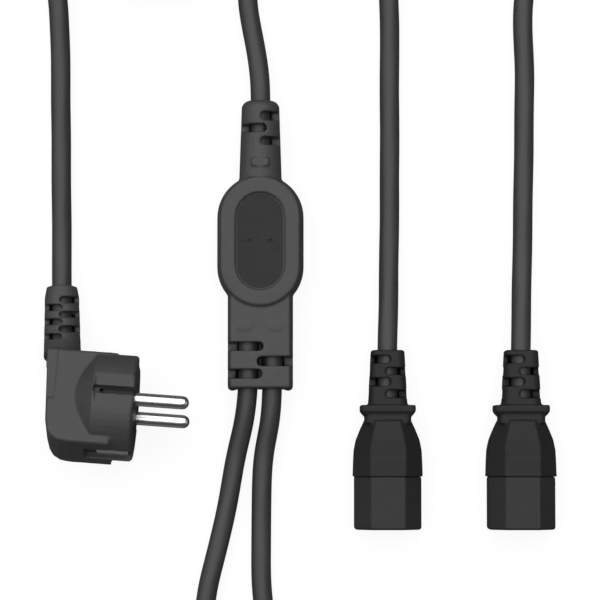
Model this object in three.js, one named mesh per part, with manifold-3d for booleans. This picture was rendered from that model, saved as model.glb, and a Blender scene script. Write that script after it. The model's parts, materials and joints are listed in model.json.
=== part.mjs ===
// Y-shaped mains lead, in millimetres, +Z up: an earthed angled plug, one main cord, a moulded
// splitter and two branch cords, each with a C13 connector. The origin is under the splitter's middle.
import * as THREE from "three";
import { mergeVertices } from "three/addons/utils/BufferGeometryUtils.js";
import Module from "manifold-3d";

const wasm = await Module();
wasm.setup();

// Fits and finish
const FIT = 0.3; // clearance between two pieces that meet
const ARC_STEPS = 2; // half the facets on a quarter of an outline
const OVAL_ARC_STEPS = 6;
const ROUND_SIDES = 28; // facets round a turned piece
const BORE_SIDES = 12;
const CORD_SIDES = 10;
const CORE_SIDES = 6;
const CORE_STEPS = 6;

// Cord
const CORD_D = 7.2;
const CORE_D = 1.7;
const CORE_PITCH = 2.3; // between the three cores where the jacket ends
const CORD_REST = CORD_D / 2; // height of a cord's centre on the table

// Splitter: oval boss
const OVAL_W = 31;
const OVAL_L = 48.8;
const OVAL_H = 16.5;
const OVAL_Y = 1.3;
const OVAL_DRAFT = 1.3; // how much narrower the rims are than the parting line
const LAND_H = 0.6; // upright band at a parting line
const RIM_ROUND = 0.5;
const RECESS_W = 17.7;
const RECESS_L = 35;
const RECESS_DEEP = 1;
const DENT_D = 1.5;
const DENT_APART = 7.4;
const DENT_DEEP = 0.5;

// Splitter: block that the two branch cords leave
const BLOCK_W = 23.4;
const BLOCK_END = -51.9;
const BLOCK_H = 14;
const BLOCK_DRAFT = 0.9;
const BLOCK_CORNER = 1.6;
const BRANCH_APART = 8.6;
const PAD_W = 5.4;
const PAD_L = 2.9;
const PAD_PROUD = 0.25;
const PAD_Y = -29;
const PAD_APART = 11.2;

// Splitter: round strain relief of the main cord
const NECK_END = 52.1;
const NECK_TIP_D = 13.6;
const NECK_ROOT_D = 16;
const NECK_TIP_ROUND = 2;
const FLARE = 1.1; // how much wider a cord's bore is at its mouth
const FLARE_L = 14;
const SLOT_FLOOR = 0.4; // a slot stops this far short of mid height
// Slots seen from above: the side that each opens to, how far it goes past the middle, and its two edges.
const SPLITTER_SLOTS = [
  { opens: 1, past: 0, from: 44.7, to: 47.9 },
  { opens: -1, past: 2.4, from: 40.5, to: 43.4 },
  { opens: 1, past: 0, from: 35.8, to: 38.8 },
  { opens: -1, past: 1.2, from: -37.8, to: -34.6 },
  { opens: 1, past: 1.2, from: -43.2, to: -39.8 },
  { opens: -1, past: 0.8, from: -47.6, to: -44.3 },
];
const RIB_W = 6;
const RIB_L = 2.8;
const RIB_Y = 29.6;

// Splitter: joint inside
const HOLLOW_W = 21;
const HOLLOW_H = 9.2;
const HOLLOW_FRONT = 17;
const HOLLOW_BACK = -14.3;
const TRAY_FLOOR = 1.3;
const TRAY_WALL = 1;
const LANE_APART = 6.4;
const CRIMP_D = 5;
const CRIMP_L = 10;
const CRIMP_Y = 2;
const CRIMP_MAIN_BORE = CORE_D + 2 * FIT;
const CRIMP_BRANCH_BORE = 4.2;
const CORE_STACK = 2.1; // height between the two branch cores that share a crimp

// Plug, CEE 7/7 pattern
const DISC_D = 37.5;
const DISC_L = 14.4;
const DISC_ROUND = 0.8;
const PLUG_L = 31.5;
const SLAB_T = 22;
const SLAB_DOWN = 18.2;
const SLAB_UP = 16.9;
const SLAB_CORNER = 8;
const CONE_L = 7.2;
const BACK_SLANT = 4.2; // degrees between the back and the face
const SIDE_FLAT = 35.6; // across the two side flats
const FLAT_W = 12.4;
const FLAT_L = 14;
const GUIDE_W = 2.6;
const GUIDE_DEEP = 2.4;
const PLUG_ROLL = 20; // degrees that the plug leans over as it lies on its rim
const PLUG_TURN = -4.2;
const PLUG_X = -43.9;
const PLUG_Y = -58.5;
const PIN_D = 4.8;
const PIN_L = 19;
const PIN_APART = 19;
const PIN_BACK = 11; // length of a pin's shank inside the plug
const BARREL_D = 3;
const BARREL_L = 3.5;
const CARRIER_D = 30;
const CARRIER_L = 11.2;
const EARTH_HOLE_D = 5;
const EARTH_HOLE_OUT = 10;
const SLEEVE_WALL = 0.6;
const SLEEVE_L = 9;
const STRIP_T = 0.8;
const STRIP_W = 4;
const CLIP_SLOT_W = 9;
const CLIP_SLOT_L = 16.5;
const CLIP_SLOT_DEEP = 3;
const PANEL_L = 20.7;
const PANEL_W = 4.3;
const PANEL_DEEP = 0.5;
const PANEL_SHIFT = 9;
const WIRE_ROOM_D = 23;
const WIRE_ROOM_L = 5.4;
const WIRE_BOX_W = 18;
const WIRE_BOX_DOWN = 8;
const WIRE_BOX_UP = 13.2;
const PLUG_CORD_BACK = 25.9; // from the plug's face to the cord's centre
const TAIL_TIP_D = 12.2;
const TAIL_ROOT_D = 13.8;
const TAIL_TIP_Y = -16;
const RAMP_END = 0.42; // share of the tail over which it swells up to the face of the plug
const RAMP_RISE = 1.5;
const TAIL_SLOTS = [
  { opens: 1, past: 0.6, from: -20.6, to: -18.3 },
  { opens: -1, past: 0.6, from: -23.4, to: -21.1 },
  { opens: 1, past: 0.6, from: -25.8, to: -23.6 },
  { opens: -1, past: 0.6, from: -28.5, to: -26.3 },
  { opens: 1, past: 0.6, from: -31.1, to: -28.8 },
  { opens: -1, past: 0.6, from: -33.7, to: -31.7 },
];

// Connector, C13
const NOSE_W = 23.9;
const NOSE_H = 16.3;
const NOSE_CHAMFER = 5.9;
const NOSE_L = 18.9;
const CONNECTOR_L = 64;
const SHELL_STEP = 0.5;
const SHELL_L = 19.9;
const SOCKET_TAIL_L = 19.6;
const SOCKET_TAIL_TIP_W = 12;
const SOCKET_TAIL_ROOT_W = 14.1;
const SOCKET_TAIL_H = 11.6;
const FLANGE_W = 19.8;
const FLANGE_H = 14;
const FLANGE_L = 3.7;
const WAIST_W = 16.8;
const INSERT_TAIL_W = 19.2;
const INSERT_TAIL_H = 12.2;
const INSERT_TAIL_L = 6;
const INSERT_TAIL_CHAMFER = 5.4;
const FAN_L = 7; // room in which the cores spread behind the insert
const SOCKET_W = 2.7;
const SOCKET_H = 5.2;
const SOCKET_OUT = 7;
const SOCKET_DOWN = 2;
const CONTACT_WALL = 0.4;
const CONTACT_L = 18;
const CONTACT_BACK = 2;
const LABEL_W = 11.9;
const LABEL_L = 10.9;
const LABEL_DEEP = 0.35;
const CONNECTOR_TIP_Y = -37.4;
// From the tip of the relief.
const SOCKET_SLOTS = [
  { opens: -1, past: 1.1, from: 2, to: 4.8 },
  { opens: 1, past: 0.9, from: 6.3, to: 8.9 },
  { opens: -1, past: 1.1, from: 10, to: 13 },
  { opens: 1, past: 0.9, from: 14.3, to: 17.1 },
];
const CONNECTOR_XS = [45.5, 93.2];
const CONNECTOR_AXIS_Z = NOSE_H / 2 + SHELL_STEP;

// Coil of the spare main cord, beside the plug lead
const COIL_X = -38.8;
const COIL_Y = 138.6;
const COIL_MEAN_R = 36;
const COIL_LIFT = 1.3;
const TIE_T = 1.2;
const TIE_W = 5;

const BLACK_PVC = { color: 0x232425, roughness: 0.62, metalness: 0 };
const CORD_PVC = { color: 0x1d1e1f, roughness: 0.5, metalness: 0 };
const HARD_PVC = { color: 0x262728, roughness: 0.55, metalness: 0 };
const NICKEL = { color: 0xd8d6d2, roughness: 0.22, metalness: 1 };
const BRASS = { color: 0xb08d4a, roughness: 0.35, metalness: 1 };
const CORE_COLOURS = [0x6b4226, 0x2b5fa8, 0x6fa033];

const vec = (x, y, z) => new THREE.Vector3(x, y, z);
const rad = THREE.MathUtils.degToRad;

// A closed geometry as a solid that can be joined and cut.
function solid(geometry, matrix) {
  const bare = geometry.clone();
  if (matrix) bare.applyMatrix4(matrix);
  bare.deleteAttribute("normal");
  bare.deleteAttribute("uv");
  const merged = mergeVertices(bare, 1e-4);
  return new wasm.Manifold(
    new wasm.Mesh({
      numProp: 3,
      vertProperties: merged.attributes.position.array,
      triVerts: new Uint32Array(merged.index.array),
    }),
  );
}

const join = (...pieces) => pieces.reduce((a, b) => a.add(b));
const cut = (body, ...tools) => tools.reduce((a, b) => a.subtract(b), body);
const at = (x, y, z) => new THREE.Matrix4().makeTranslation(x, y, z);
const turned = (axis, degrees) => new THREE.Matrix4().makeRotationAxis(axis, rad(degrees));
const X_AXIS = vec(1, 0, 0);
const Y_AXIS = vec(0, 1, 0);

function box(x0, x1, y0, y1, z0, z1) {
  const made = new THREE.BoxGeometry(x1 - x0, y1 - y0, z1 - z0);
  return solid(made, at((x0 + x1) / 2, (y0 + y1) / 2, (z0 + z1) / 2));
}

// A round bar or hole from z0 to z1 along local Z.
function rod(diameter, z0, z1, matrix = new THREE.Matrix4(), sides = ROUND_SIDES) {
  const made = new THREE.CylinderGeometry(diameter / 2, diameter / 2, z1 - z0, sides);
  made.rotateX(Math.PI / 2);
  made.translate(0, 0, (z0 + z1) / 2);
  return solid(made, matrix);
}

// A rectangle with rounded corners, centred on (x, y).
function roundedRectangle(width, height, radius, x = 0, y = 0) {
  const w = width / 2;
  const h = height / 2;
  const r = Math.min(radius, w - 0.01, h - 0.01);
  const shape = new THREE.Shape();
  shape.absarc(x + w - r, y - h + r, r, -Math.PI / 2, 0, false);
  shape.absarc(x + w - r, y + h - r, r, 0, Math.PI / 2, false);
  shape.absarc(x - w + r, y + h - r, r, Math.PI / 2, Math.PI, false);
  shape.absarc(x - w + r, y - h + r, r, Math.PI, Math.PI * 1.5, false);
  shape.closePath();
  return shape;
}

const stadium = (width, height, x, y) =>
  roundedRectangle(width, height, Math.min(width, height) / 2, x, y);

// A prism of the shape from z0 to z1.
function prism(shape, z0, z1, matrix, steps = 1) {
  const options = { depth: z1 - z0, bevelEnabled: false, curveSegments: ARC_STEPS, steps };
  const made = new THREE.ExtrudeGeometry(shape, options);
  made.translate(0, 0, z0);
  return solid(made, matrix);
}

// A moulded wall: the shape's outline is grown, shrunk or scaled from level to level.
function moulded(shape, levels, matrix, arcSteps = ARC_STEPS) {
  const outline = shape.getPoints(arcSteps).filter((p, i, all) => {
    const next = all[(i + 1) % all.length];
    return p.distanceTo(next) > 1e-4;
  });
  const clean = new THREE.Shape(outline);
  const outward = outline.map((p, i) => {
    const before = outline[(i + outline.length - 1) % outline.length];
    const after = outline[(i + 1) % outline.length];
    const a = p.clone().sub(before).normalize();
    const b = after.clone().sub(p).normalize();
    const mid = new THREE.Vector2(a.y + b.y, -(a.x + b.x)).normalize();
    return mid.divideScalar(Math.max(0.5, mid.dot(new THREE.Vector2(a.y, -a.x))));
  });
  const steps = levels.length - 1;
  const made = new THREE.ExtrudeGeometry(clean, { depth: steps, bevelEnabled: false, steps });
  const place = made.attributes.position;
  for (let i = 0; i < place.count; i++) {
    const here = new THREE.Vector2(place.getX(i), place.getY(i));
    const level = levels[Math.round(place.getZ(i))];
    const k = outline.findIndex((p) => p.distanceTo(here) < 1e-4);
    const { grow = 0, sx = 1, sy = 1, dy = 0 } = level;
    const x = here.x * sx + outward[k].x * grow;
    const y = here.y * sy + outward[k].y * grow + dy;
    place.setXYZ(i, x, y, level.z);
  }
  return solid(made, matrix);
}

// Levels of a part moulded in two halves: widest at the parting line, drafted and rounded to each rim.
function twoHalves(low, high, draft) {
  const middle = (low + high) / 2;
  return [
    { z: low, grow: -draft - RIM_ROUND },
    { z: low + RIM_ROUND, grow: -draft },
    { z: middle - LAND_H / 2, grow: 0 },
    { z: middle + LAND_H / 2, grow: 0 },
    { z: high - RIM_ROUND, grow: -draft },
    { z: high, grow: -draft - RIM_ROUND },
  ];
}

// A turned piece: the profile is a list of [radius, height] along local Z.
function revolved(profile, matrix, sides = ROUND_SIDES) {
  const points = profile.map(([r, h]) => new THREE.Vector2(r, h));
  const made = new THREE.LatheGeometry(points, sides, Math.PI / sides);
  made.rotateX(Math.PI / 2);
  return solid(made, matrix);
}

// A slot is open to the cord from above, and its mirrored twin from below. Neither passes mid height,
// so the relief bends both ways and no light falls through it.
function slotPair({ opens, past, from, to }, middle, reach, matrix) {
  const pocket = (side, low, high) => {
    const inner = middle.x - side * past;
    const outer = middle.x + side * reach;
    const outline = stadium(Math.abs(outer - inner), to - from, (inner + outer) / 2, (from + to) / 2);
    return prism(outline, low, high, matrix);
  };
  const above = pocket(opens, middle.z + SLOT_FLOOR, middle.z + reach);
  const below = pocket(-opens, middle.z - reach, middle.z - SLOT_FLOOR);
  return [above, below];
}

// A round cord of one diameter along a smooth curve through the points.
function along(points, diameter, steps, sides = CORD_SIDES) {
  const path = new THREE.CatmullRomCurve3(points, false, "chordal");
  const section = new THREE.Shape();
  section.absarc(0, 0, diameter / 2, 0, Math.PI * 2, false);
  const ring = new THREE.Shape(section.getSpacedPoints(sides).slice(0, sides));
  return new THREE.ExtrudeGeometry(ring, { steps, bevelEnabled: false, extrudePath: path });
}

const group = new THREE.Group();

function addSolid(name, body, finish, parent = group) {
  const made = body.getMesh();
  const geometry = new THREE.BufferGeometry();
  const corners = new THREE.BufferAttribute(new Float32Array(made.vertProperties), made.numProp);
  geometry.setAttribute("position", corners);
  geometry.setIndex(new THREE.BufferAttribute(new Uint32Array(made.triVerts), 1));
  return addMesh(name, geometry, finish, parent);
}

function addMesh(name, geometry, finish, parent = group) {
  const mesh = new THREE.Mesh(geometry, new THREE.MeshStandardMaterial(finish));
  mesh.geometry.computeVertexNormals();
  mesh.name = name;
  parent.add(mesh);
  return mesh;
}

const coreFinish = (i) => ({ color: CORE_COLOURS[i], roughness: 0.5, metalness: 0 });
const CORE_NAMES = ["live", "neutral", "earth"];

// Splitter housing: oval boss, block and neck moulded as one, with ribs of slots on both reliefs.
const middleZ = OVAL_H / 2;
function splitterHousing() {
  const oval = moulded(
    stadium(OVAL_W, OVAL_L, 0, OVAL_Y),
    twoHalves(0, OVAL_H, OVAL_DRAFT),
    undefined,
    OVAL_ARC_STEPS,
  );
  const blockStart = OVAL_Y - OVAL_L / 4;
  const block = moulded(
    roundedRectangle(
      BLOCK_W,
      blockStart - BLOCK_END,
      BLOCK_CORNER,
      0,
      (blockStart + BLOCK_END) / 2,
    ),
    twoHalves(middleZ - BLOCK_H / 2, middleZ + BLOCK_H / 2, BLOCK_DRAFT),
    undefined,
    2,
  );
  const neckStart = OVAL_Y + OVAL_L / 4;
  const neckLength = NECK_END - neckStart;
  const tip = NECK_TIP_D / 2;
  const neck = revolved(
    [
      [0, 0],
      [NECK_ROOT_D / 2, 0],
      [tip, neckLength - NECK_TIP_ROUND],
      [tip - 0.4 * NECK_TIP_ROUND, neckLength - 0.35 * NECK_TIP_ROUND],
      [tip - NECK_TIP_ROUND, neckLength],
      [0, neckLength],
    ],
    at(0, neckStart, middleZ).multiply(turned(X_AXIS, -90)),
  );
  const rib = prism(
    roundedRectangle(RIB_W, RIB_L, 0.6, 0, RIB_Y),
    middleZ,
    middleZ + NECK_ROOT_D / 2 - 0.2,
  );
  const pads = [-1, 1].map((side) =>
    prism(
      stadium(PAD_W, PAD_L, (side * PAD_APART) / 2, PAD_Y),
      middleZ,
      middleZ + BLOCK_H / 2 + PAD_PROUD,
    ),
  );
  const recess = moulded(
    stadium(RECESS_W, RECESS_L, 0, OVAL_Y),
    [{ z: OVAL_H - RECESS_DEEP }, { z: OVAL_H + 1 }],
    undefined,
    OVAL_ARC_STEPS,
  );
  const dents = [-1, 1].map((side) =>
    rod(
      DENT_D,
      OVAL_H - RECESS_DEEP - DENT_DEEP,
      OVAL_H,
      at((side * DENT_APART) / 2, OVAL_Y, 0),
      12,
    ),
  );
  const hollow = box(
    -HOLLOW_W / 2,
    HOLLOW_W / 2,
    HOLLOW_BACK,
    HOLLOW_FRONT,
    middleZ - HOLLOW_H / 2,
    middleZ + HOLLOW_H / 2,
  );
  const bore = CORD_D + 2 * FIT;
  const lengthways = turned(X_AXIS, -90);
  const mainBore = rod(
    bore,
    HOLLOW_FRONT - FIT,
    NECK_END + 1,
    at(0, 0, middleZ).multiply(lengthways),
    BORE_SIDES,
  );
  const mouths = [-1, 1].map((side) =>
    solid(
      new THREE.CylinderGeometry(bore / 2, bore / 2 + FLARE, FLARE_L, BORE_SIDES),
      at((side * BRANCH_APART) / 2, BLOCK_END + FLARE_L / 2 - 0.1, middleZ),
    ),
  );
  const branchBores = [-1, 1].map((side) =>
    rod(
      bore,
      BLOCK_END - 1,
      HOLLOW_BACK + FIT,
      at((side * BRANCH_APART) / 2, 0, middleZ).multiply(lengthways),
      BORE_SIDES,
    ),
  );
  const middle = vec(0, 0, middleZ);
  const slots = SPLITTER_SLOTS.flatMap((slot) => slotPair(slot, middle, BLOCK_W));
  return cut(
    join(oval, block, neck, rib, ...pads),
    recess,
    ...dents,
    hollow,
    mainBore,
    ...branchBores,
    ...mouths,
    ...slots,
  );
}

// Joint inside the splitter: a tray with three lanes, a crimp in each, and the stripped cores.
function splitterTray() {
  const w = HOLLOW_W / 2 - FIT;
  const floor = middleZ - HOLLOW_H / 2 + FIT;
  const top = middleZ + HOLLOW_H / 2 - FIT;
  const front = HOLLOW_FRONT - FIT;
  const back = HOLLOW_BACK + FIT;
  const wallTop = floor + TRAY_FLOOR;
  const base = box(-w, w, back, front, floor, wallTop);
  const sides = [-1, 1].map((side) => {
    const inner = side * (w - TRAY_WALL);
    return box(
      Math.min(inner, side * w),
      Math.max(inner, side * w),
      back,
      front,
      wallTop - 0.5,
      top,
    );
  });
  const walls = [-1, 1].map((side) =>
    box(
      (side * LANE_APART) / 2 - TRAY_WALL / 2,
      (side * LANE_APART) / 2 + TRAY_WALL / 2,
      CRIMP_Y - CRIMP_L / 2,
      CRIMP_Y + CRIMP_L / 2,
      wallTop - 0.5,
      top,
    ),
  );
  return join(base, ...sides, ...walls);
}

addSolid("splitter_housing", splitterHousing(), BLACK_PVC);
addSolid("splitter_tray", splitterTray(), HARD_PVC);

const laneX = (i) => (i - 1) * LANE_APART;
for (let i = 0; i < 3; i++) {
  const half = CRIMP_L / 2;
  const crimp = revolved(
    [
      [CRIMP_BRANCH_BORE / 2, -half],
      [CRIMP_D / 2, -half],
      [CRIMP_D / 2, half],
      [CRIMP_MAIN_BORE / 2, half],
      [CRIMP_MAIN_BORE / 2, 1],
      [CRIMP_BRANCH_BORE / 2, 0],
      [CRIMP_BRANCH_BORE / 2, -half],
    ],
    at(laneX(i), CRIMP_Y, middleZ).multiply(turned(X_AXIS, -90)),
    12,
  );
  addSolid("splitter_crimp_" + CORE_NAMES[i], crimp, BRASS);
  const startX = (i - 1) * CORE_PITCH;
  const mainPath = [
    vec(startX, HOLLOW_FRONT - FIT, middleZ),
    vec(startX * 1.1, HOLLOW_FRONT - 2, middleZ),
    vec(laneX(i), CRIMP_Y + half + 1, middleZ),
    vec(laneX(i), CRIMP_Y + 2, middleZ),
  ];
  const mainCore = along(mainPath, CORE_D, CORE_STEPS, CORE_SIDES);
  addMesh("splitter_main_core_" + CORE_NAMES[i], mainCore, coreFinish(i));
  for (const side of [-1, 1]) {
    const x = (side * BRANCH_APART) / 2 + (i - 1) * CORE_PITCH;
    const z = middleZ - (side * CORE_STACK) / 2;
    const branchPath = [
      vec(x, HOLLOW_BACK + FIT, z),
      vec(x, HOLLOW_BACK + 2, z),
      vec(laneX(i), CRIMP_Y - half - 1, z),
      vec(laneX(i), CRIMP_Y - 1, z),
    ];
    const name = "splitter_branch_" + (side < 0 ? 1 : 2) + "_core_" + CORE_NAMES[i];
    addMesh(name, along(branchPath, CORE_D, CORE_STEPS, CORE_SIDES), coreFinish(i));
  }
}

// Connector: the front insert's outline has two chamfered corners, so it goes in one way only.
function noseShape(width, height, chamfer) {
  const w = width / 2;
  const h = height / 2;
  const r = 1;
  const shape = new THREE.Shape();
  shape.moveTo(-w + r, -h);
  shape.lineTo(w - r, -h);
  shape.absarc(w - r, -h + r, r, -Math.PI / 2, 0, false);
  shape.lineTo(w, h - chamfer);
  shape.lineTo(w - chamfer, h);
  shape.lineTo(-w + chamfer, h);
  shape.lineTo(-w, h - chamfer);
  shape.lineTo(-w, -h + r);
  shape.absarc(-w + r, -h + r, r, Math.PI, Math.PI * 1.5, false);
  return shape;
}

const shellStart = CONNECTOR_L - NOSE_L - SHELL_L;
const shellEnd = CONNECTOR_L - NOSE_L;
const insertBack = shellEnd - INSERT_TAIL_L;
const fanStart = insertBack - FAN_L;
const sockets = [
  { x: -SOCKET_OUT, y: -SOCKET_DOWN },
  { x: SOCKET_OUT, y: -SOCKET_DOWN },
  { x: 0, y: SOCKET_DOWN },
];

// Shell of the connector: shoulder that swells from the waist, flange and slotted relief.
function connectorHousing() {
  const shellW = NOSE_W + 2 * SHELL_STEP;
  const shellH = NOSE_H + 2 * SHELL_STEP;
  const swell = [
    [0, WAIST_W, 0.84],
    [0.16, 19.7, 0.9],
    [0.34, 22.6, 0.96],
    [0.52, 24.1, 0.99],
    [0.7, 24.5, 1],
    [1, shellW, 1],
  ];
  const shell = moulded(
    noseShape(shellW, shellH, NOSE_CHAMFER + SHELL_STEP / 2),
    swell.map(([t, w, h]) => ({ z: shellStart + t * SHELL_L, sx: w / shellW, sy: h })),
    undefined,
    2,
  );
  const flange = moulded(
    roundedRectangle(FLANGE_W, FLANGE_H, 1.5),
    [
      { z: SOCKET_TAIL_L, grow: -0.3 },
      { z: SOCKET_TAIL_L + 0.3, grow: 0 },
      { z: SOCKET_TAIL_L + FLANGE_L * 0.6, grow: 0 },
      { z: SOCKET_TAIL_L + FLANGE_L, grow: -1 },
    ],
    undefined,
    2,
  );
  const waist = prism(
    roundedRectangle(WAIST_W - 0.2, FLANGE_H - 1.4, 2),
    SOCKET_TAIL_L + 1,
    shellStart + 1,
  );
  const tail = moulded(
    roundedRectangle(SOCKET_TAIL_ROOT_W, SOCKET_TAIL_H + 0.8, 3.4),
    [
      { z: 0, sx: SOCKET_TAIL_TIP_W / SOCKET_TAIL_ROOT_W, sy: 0.93, grow: -0.5 },
      { z: 0.5, sx: SOCKET_TAIL_TIP_W / SOCKET_TAIL_ROOT_W, sy: 0.93 },
      { z: SOCKET_TAIL_L + 1, sx: 1, sy: 1 },
    ],
    undefined,
    4,
  );
  const insertRoom = prism(
    noseShape(INSERT_TAIL_W, INSERT_TAIL_H, INSERT_TAIL_CHAMFER),
    fanStart,
    shellEnd + 1,
  );
  const boreD = CORD_D + 2 * FIT;
  const bore = rod(boreD, -1, fanStart + FIT, undefined, BORE_SIDES);
  const flared = new THREE.CylinderGeometry(boreD / 2, boreD / 2 + FLARE, FLARE_L, BORE_SIDES);
  const mouth = solid(flared, at(0, 0, FLARE_L / 2 - 0.1).multiply(turned(X_AXIS, 90)));
  const labelEnd = shellEnd - 6.3;
  const label = box(
    -LABEL_W / 2,
    LABEL_W / 2,
    NOSE_H / 2 + SHELL_STEP - LABEL_DEEP,
    NOSE_H,
    labelEnd - LABEL_L,
    labelEnd,
  );
  const slots = SOCKET_SLOTS.flatMap(({ opens, past, from, to }) => {
    const slot = { opens, past, from: -to, to: -from };
    return slotPair(slot, vec(0, 0, 0), SOCKET_TAIL_ROOT_W, turned(X_AXIS, -90));
  });
  return cut(join(shell, flange, waist, tail), insertRoom, bore, mouth, label, ...slots);
}

// Front insert: the nose with three slots, and a smaller tail held inside the shell.
function connectorInsert() {
  const nose = moulded(
    noseShape(NOSE_W, NOSE_H, NOSE_CHAMFER),
    [
      { z: shellEnd + FIT },
      { z: CONNECTOR_L - 0.6 },
      { z: CONNECTOR_L, grow: -0.6 },
    ],
    undefined,
    2,
  );
  const tailChamfer = INSERT_TAIL_CHAMFER - 0.6 * FIT;
  const tail = prism(
    noseShape(INSERT_TAIL_W - 2 * FIT, INSERT_TAIL_H - 2 * FIT, tailChamfer),
    insertBack,
    shellEnd + 1,
  );
  const holes = sockets.map(({ x, y }) =>
    box(
      x - SOCKET_W / 2,
      x + SOCKET_W / 2,
      y - SOCKET_H / 2,
      y + SOCKET_H / 2,
      insertBack - 1,
      CONNECTOR_L + 1,
    ),
  );
  return cut(join(nose, tail), ...holes);
}

// Female contact: a folded sleeve that a flat blade slides into.
function contact({ x, y }) {
  const w = SOCKET_W / 2 - FIT;
  const h = SOCKET_H / 2 - FIT;
  const end = CONNECTOR_L - CONTACT_BACK;
  const start = end - CONTACT_L;
  const t = CONTACT_WALL;
  const outer = box(x - w, x + w, y - h, y + h, start, end);
  const inner = box(x - w + t, x + w - t, y - h + t, y + h - t, start - 1, end + 1);
  return cut(outer, inner);
}

CONNECTOR_XS.forEach((x, n) => {
  const holder = new THREE.Group();
  holder.position.set(x, CONNECTOR_TIP_Y, CONNECTOR_AXIS_Z);
  holder.rotation.x = Math.PI / 2;
  group.add(holder);
  const name = "connector_" + (n + 1);
  addSolid(name + "_housing", connectorHousing(), BLACK_PVC, holder);
  addSolid(name + "_insert", connectorInsert(), HARD_PVC, holder);
  sockets.forEach((place, i) => {
    addSolid(name + "_contact_" + CORE_NAMES[i], contact(place), BRASS, holder);
    const startX = [-CORE_PITCH, CORE_PITCH, 0][i];
    const path = [
      vec(startX, 0, fanStart + FIT),
      vec(startX, 0, fanStart + 1.5),
      vec(place.x, place.y, insertBack),
      vec(place.x, place.y, CONNECTOR_L - CONTACT_BACK - CONTACT_L - FIT),
    ];
    const core = along(path, CORE_D, CORE_STEPS, CORE_SIDES);
    addMesh(name + "_core_" + CORE_NAMES[i], core, coreFinish(i), holder);
  });
});

// Plug. Its own frame has +X along the pins, +Y towards the cord and +Z from pin to pin.
const plugTurn = new THREE.Group();
plugTurn.position.set(PLUG_X, PLUG_Y, DISC_D / 2);
plugTurn.rotation.z = rad(PLUG_TURN);
const plugRoll = new THREE.Group();
plugRoll.rotation.x = rad(-PLUG_ROLL);
plugTurn.add(plugRoll);
group.add(plugTurn);
plugTurn.updateMatrixWorld(true);
const toPlug = plugRoll.matrixWorld.clone().invert();
const alongPins = turned(Y_AXIS, 90); // local Z of a turned piece onto the pins' direction

// Centre line of the relief and of the cord in it: from inside the plug down to the table.
const tailX = PLUG_X - PLUG_CORD_BACK - 1.2;
const tailPoints = [
  vec(tailX + 0.9, -46.5, 14.4),
  vec(tailX + 0.4, -38.1, 11.3),
  vec(tailX, -27, 7.9),
  vec(tailX - 0.3, TAIL_TIP_Y, 6.2),
  vec(tailX - 0.4, -8, 5.2),
];

// A straight taper bent along the relief's centre line.
function bentTaper() {
  const curve = new THREE.CatmullRomCurve3(tailPoints, false, "chordal");
  const steps = 8;
  const made = new THREE.CylinderGeometry(TAIL_TIP_D / 2, TAIL_ROOT_D / 2, 1, 24, steps);
  const place = made.attributes.position;
  const tipAt = 0.79;
  for (let i = 0; i < place.count; i++) {
    const t = (place.getY(i) + 0.5) * tipAt;
    const centre = curve.getPoint(t);
    const ahead = curve.getTangent(t);
    const across = vec(0, 0, 1).cross(ahead).normalize();
    const up = across.clone().cross(ahead).normalize();
    const rim = t > 0.99 * tipAt ? 0.9 : 1;
    const rise = Math.max(0, 1 - t / RAMP_END) ** 2 * RAMP_RISE;
    const high = place.getZ(i);
    const p = centre
      .addScaledVector(across, place.getX(i) * rim)
      .addScaledVector(up, high * rim * (high < 0 ? 1 + rise : 1));
    place.setXYZ(i, p.x, p.y, p.z);
  }
  return solid(made, toPlug);
}

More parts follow.
